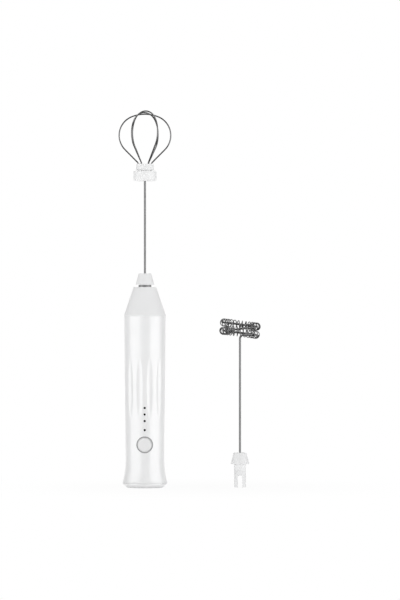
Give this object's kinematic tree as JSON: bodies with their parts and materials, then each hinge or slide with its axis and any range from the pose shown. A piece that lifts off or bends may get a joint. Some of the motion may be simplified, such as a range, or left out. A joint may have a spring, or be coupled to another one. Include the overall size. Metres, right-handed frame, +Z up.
{
  "type": "milk frother",
  "caption": "Hand-held rechargeable milk frother with fluted white handle, plug-in balloon whisk and a second spring whisk head standing beside it.",
  "frame": {"origin": "centre of the handle's base, on the surface it stands on", "axes": "+Z up along the handle's axis, -Y to the side with the button, +X towards the second head"},
  "size_m": [0.0942, 0.0306, 0.25],
  "materials": {
    "shell_white": "gloss",
    "satin_white": "satin",
    "button_grey": "satin",
    "ring_grey": "satin",
    "lens_black": "gloss",
    "bright_steel": "drawn wire",
    "bush_steel": "plain",
    "screw_steel": "plain",
    "port_steel": "plain",
    "carrier_grey": "plain",
    "cell_wrap": "wrapped",
    "lead_insulation": "plain",
    "board_green": "plain",
    "chip_black": "plain",
    "lamp_clear": "clear",
    "seal_rubber": "plain",
    "motor_steel": "zinc plated",
    "magnet_grey": "plain",
    "bronze": "plain",
    "copper": "enamelled wire"
  },
  "bodies": {
    "handle": {"handle_sleeve": "shell_white", "nose_cone": "satin_white", "nose_bush": "bush_steel", "shaft_seal": "seal_rubber", "base_cap": "shell_white", "base_screws": "screw_steel", "chassis": "carrier_grey", "battery_cell": "cell_wrap", "battery_leads": "lead_insulation", "circuit_board": "board_green", "board_screws": "screw_steel", "board_chips": "chip_black", "indicator_lamps": "lamp_clear", "light_guide": "lens_black", "tact_switch": "chip_black", "button_ring": "ring_grey", "charge_port": "port_steel", "motor_can": "motor_steel", "motor_end_cap": "carrier_grey", "motor_bushes": "bronze", "motor_magnets": "magnet_grey", "motor_brushes": "bronze", "motor_terminals": "bronze", "motor_plate": "motor_steel", "motor_screws": "screw_steel", "motor_leads": "lead_insulation"},
    "spindle": {"motor_shaft": "screw_steel", "rotor_core": "motor_steel", "rotor_windings": "copper", "commutator": "bronze", "drive_dog": "carrier_grey"},
    "whisk_head": {"whisk_coupling": "satin_white", "whisk_shaft": "bright_steel", "whisk_hub_base": "shell_white", "whisk_hub_collar": "shell_white", "whisk_loop_1": "bright_steel", "whisk_loop_2": "bright_steel", "whisk_loop_3": "bright_steel"},
    "button": {"power_button": "button_grey", "switch_plunger": "chip_black"},
    "froth_head": {"froth_coupling": "satin_white", "froth_wire": "bright_steel", "froth_spring": "bright_steel"}
  },
  "joints": [
    {"name": "spindle_spin", "type": "hinge", "parent": "handle", "child": "spindle", "pos_m": [0, 0, 0.1], "axis": [0, 0, 1], "continuous": true},
    {"name": "whisk_pull", "type": "slide", "parent": "spindle", "child": "whisk_head", "axis": [0, 0, 1], "range_m": [0, 0.025]},
    {"name": "button_press", "type": "slide", "parent": "handle", "child": "button", "axis": [0, 1, 0], "range_m": [0, 0.0006], "stiffness_N_per_m": 500, "springref_m": -0.002},
    {"name": "froth_lift", "type": "slide", "parent": "handle", "child": "froth_head", "axis": [0, 0, 1], "range_m": [0, 0.12]}
  ]
}
